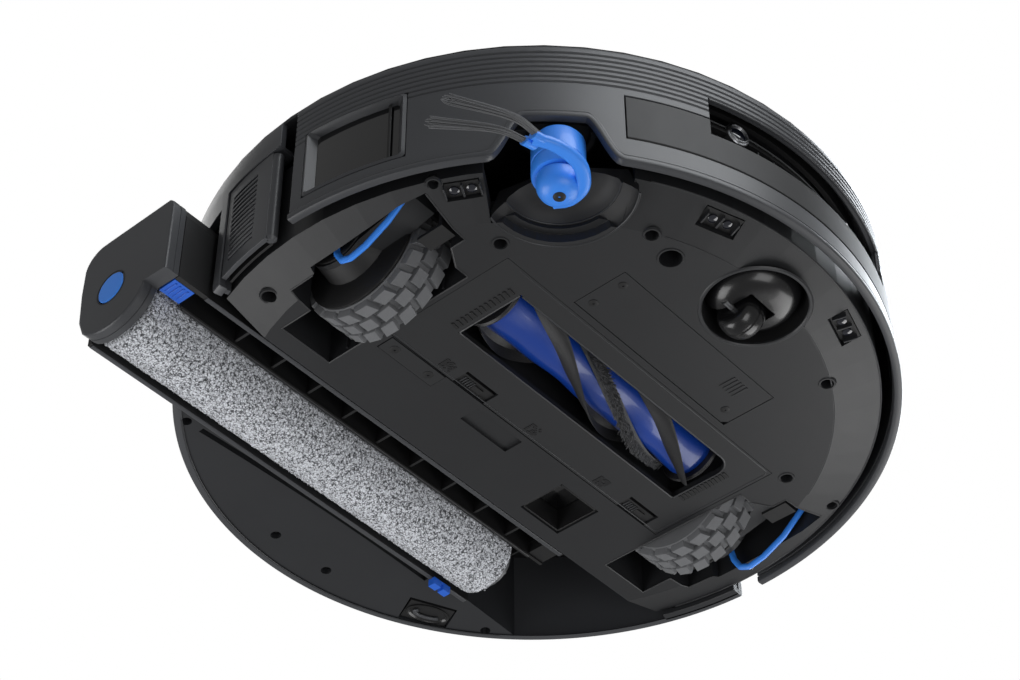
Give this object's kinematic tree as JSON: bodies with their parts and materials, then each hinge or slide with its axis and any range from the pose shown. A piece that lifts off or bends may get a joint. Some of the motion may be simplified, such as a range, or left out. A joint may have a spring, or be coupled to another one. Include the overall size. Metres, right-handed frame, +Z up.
{
  "type": "robot vacuum cleaner with roller mop",
  "caption": "Low round robot vacuum and mop with a suction brush, sweeping side brush, caster, sprung drive wheels and a slide-out roller mop.",
  "frame": {"origin": "centre of the bounding box in plan, on the floor the wheels stand on", "axes": "+Z up; -Y is the driving direction, where the bumper is; +X is the robot's left; the mop carriage slides out towards -X"},
  "size_m": [0.3692, 0.351, 0.0956],
  "materials": {
    "plastic": "fine matte texture",
    "shell": "satin moulded charcoal",
    "gloss": "polished black",
    "smoke": "smoked, polished",
    "blue": "satin accent blue",
    "tread": "matte grey tread rubber",
    "seal": "soft black rubber",
    "cloth": "looped grey terry",
    "bristle": "short stiff bristle",
    "metal": "plated steel",
    "board": "coated circuit board",
    "filter": "pleated paper filter",
    "tank": "smoked translucent tank"
  },
  "bodies": {
    "body": {"chassis": "plastic", "rear_underbody": "plastic", "upper_shell": "shell", "vent_panel": "shell", "sensor_module": "plastic", "lens_right": "smoke", "lens_left": "smoke", "hinge_plate": "plastic", "brush_motor": "metal", "side_brush_motor": "blue", "cliff_sensor_1": "smoke", "cliff_sensor_2": "smoke", "cliff_sensor_3": "smoke", "battery_pack": "plastic", "battery_cover": "plastic", "main_board": "board", "fan_housing": "plastic", "water_pump": "plastic", "wheel_bracket_right": "metal", "wheel_bracket_left": "metal", "dust_bin": "tank", "bin_filter": "filter", "water_tank": "tank"},
    "bumper_assembly": {"bumper": "shell", "bumper_lip": "shell", "sensor_window": "gloss", "side_window": "gloss"},
    "cover": {"top_cover": "shell"},
    "start_button": {"power_button": "gloss"},
    "brush_guard": {"brush_cover": "plastic"},
    "guard_latch_right": {"cover_latch_right": "plastic"},
    "guard_latch_left": {"cover_latch_left": "plastic"},
    "main_brush": {"brush_core": "blue", "brush_blades": "seal", "brush_strip": "bristle"},
    "side_brush": {"side_brush_hub": "blue", "side_brush_tuft_a": "bristle", "side_brush_tuft_b": "bristle"},
    "caster": {"caster_fork": "gloss", "caster_axle": "metal"},
    "caster_roller": {"caster_wheel": "gloss"},
    "suspension_right": {"wheel_arm_right": "plastic", "wheel_cable_right": "blue"},
    "drive_wheel_right": {"wheel_tyre_right": "tread", "wheel_hub_right": "plastic"},
    "suspension_left": {"wheel_arm_left": "plastic", "wheel_cable_left": "blue"},
    "drive_wheel_left": {"wheel_tyre_left": "tread", "wheel_hub_left": "plastic"},
    "mop_carriage": {"mop_housing": "plastic", "mop_end_cap": "plastic", "mop_clip": "blue"},
    "carriage_button": {"mop_button": "blue"},
    "carriage_latch": {"mop_latch": "blue"},
    "mop_roller": {"roller_core": "plastic", "roller_sleeve": "cloth"},
    "fan": {"fan_impeller": "plastic"},
    "release_latch": {"rear_latch": "gloss"}
  },
  "joints": [
    {"name": "bumper_press", "type": "slide", "parent": "body", "child": "bumper_assembly", "axis": [0, 1, 0], "range_m": [0, 0.003], "stiffness_N_per_m": 700, "springref_m": -0.002},
    {"name": "cover_lift", "type": "slide", "parent": "body", "child": "cover", "axis": [0, 0, 1], "range_m": [0, 0.12]},
    {"name": "start_press", "type": "slide", "parent": "cover", "child": "start_button", "axis": [0, 0, -1], "range_m": [0, 0.0012], "stiffness_N_per_m": 900, "springref_m": -0.0004},
    {"name": "guard_release", "type": "slide", "parent": "body", "child": "brush_guard", "axis": [0, 0, -1], "range_m": [0, 0.04]},
    {"name": "latch_right_pull", "type": "slide", "parent": "brush_guard", "child": "guard_latch_right", "axis": [0, -1, 0], "range_m": [0, 0.002], "stiffness_N_per_m": 500, "springref_m": -0.001},
    {"name": "latch_left_pull", "type": "slide", "parent": "brush_guard", "child": "guard_latch_left", "axis": [0, -1, 0], "range_m": [0, 0.002], "stiffness_N_per_m": 500, "springref_m": -0.001},
    {"name": "brush_spin", "type": "hinge", "parent": "body", "child": "main_brush", "pos_m": [0.0082, -0.03727, 0.028], "axis": [1, 0, 0], "continuous": true},
    {"name": "side_brush_spin", "type": "hinge", "parent": "body", "child": "side_brush", "pos_m": [-0.1094, -0.11267, 0.008], "axis": [0, 0, 1], "continuous": true},
    {"name": "caster_swivel", "type": "hinge", "parent": "body", "child": "caster", "pos_m": [0.0072, -0.13127, 0.03], "axis": [0, 0, 1], "continuous": true},
    {"name": "caster_roll", "type": "hinge", "parent": "caster", "child": "caster_roller", "pos_m": [0.0072, -0.12327, 0.0113], "axis": [1, 0, 0], "continuous": true},
    {"name": "suspension_right_swing", "type": "hinge", "parent": "body", "child": "suspension_right", "pos_m": [-0.1268, -0.04727, 0.041], "axis": [1, 0, 0], "range_deg": [-18, 4], "stiffness_Nm_per_rad": 1.6, "springref_deg": -17.19},
    {"name": "drive_right_roll", "type": "hinge", "parent": "suspension_right", "child": "drive_wheel_right", "pos_m": [-0.1073, -0.00427, 0.0361], "axis": [1, 0, 0], "continuous": true},
    {"name": "suspension_left_swing", "type": "hinge", "parent": "body", "child": "suspension_left", "pos_m": [0.1432, -0.04727, 0.041], "axis": [1, 0, 0], "range_deg": [-18, 4], "stiffness_Nm_per_rad": 1.6, "springref_deg": -17.19},
    {"name": "drive_left_roll", "type": "hinge", "parent": "suspension_left", "child": "drive_wheel_left", "pos_m": [0.1237, -0.00427, 0.0361], "axis": [1, 0, 0], "continuous": true},
    {"name": "mop_retract", "type": "slide", "parent": "body", "child": "mop_carriage", "axis": [1, 0, 0], "range_m": [0, 0.042]},
    {"name": "carriage_button_press", "type": "slide", "parent": "mop_carriage", "child": "carriage_button", "axis": [1, 0, 0], "range_m": [0, 0.0012], "stiffness_N_per_m": 600, "springref_m": -0.0004},
    {"name": "carriage_latch_pull", "type": "slide", "parent": "mop_carriage", "child": "carriage_latch", "axis": [0, 1, 0], "range_m": [0, 0.002], "stiffness_N_per_m": 500, "springref_m": -0.001},
    {"name": "mop_roller_spin", "type": "hinge", "parent": "mop_carriage", "child": "mop_roller", "pos_m": [-0.0518, 0.09223, 0.0195], "axis": [1, 0, 0], "continuous": true},
    {"name": "fan_spin", "type": "hinge", "parent": "body", "child": "fan", "pos_m": [0.0942, -0.09627, 0.035], "axis": [0, 0, 1], "continuous": true},
    {"name": "release_latch_press", "type": "slide", "parent": "body", "child": "release_latch", "axis": [0, 0, 1], "range_m": [0, 0.002], "stiffness_N_per_m": 500, "springref_m": -0.001}
  ]
}
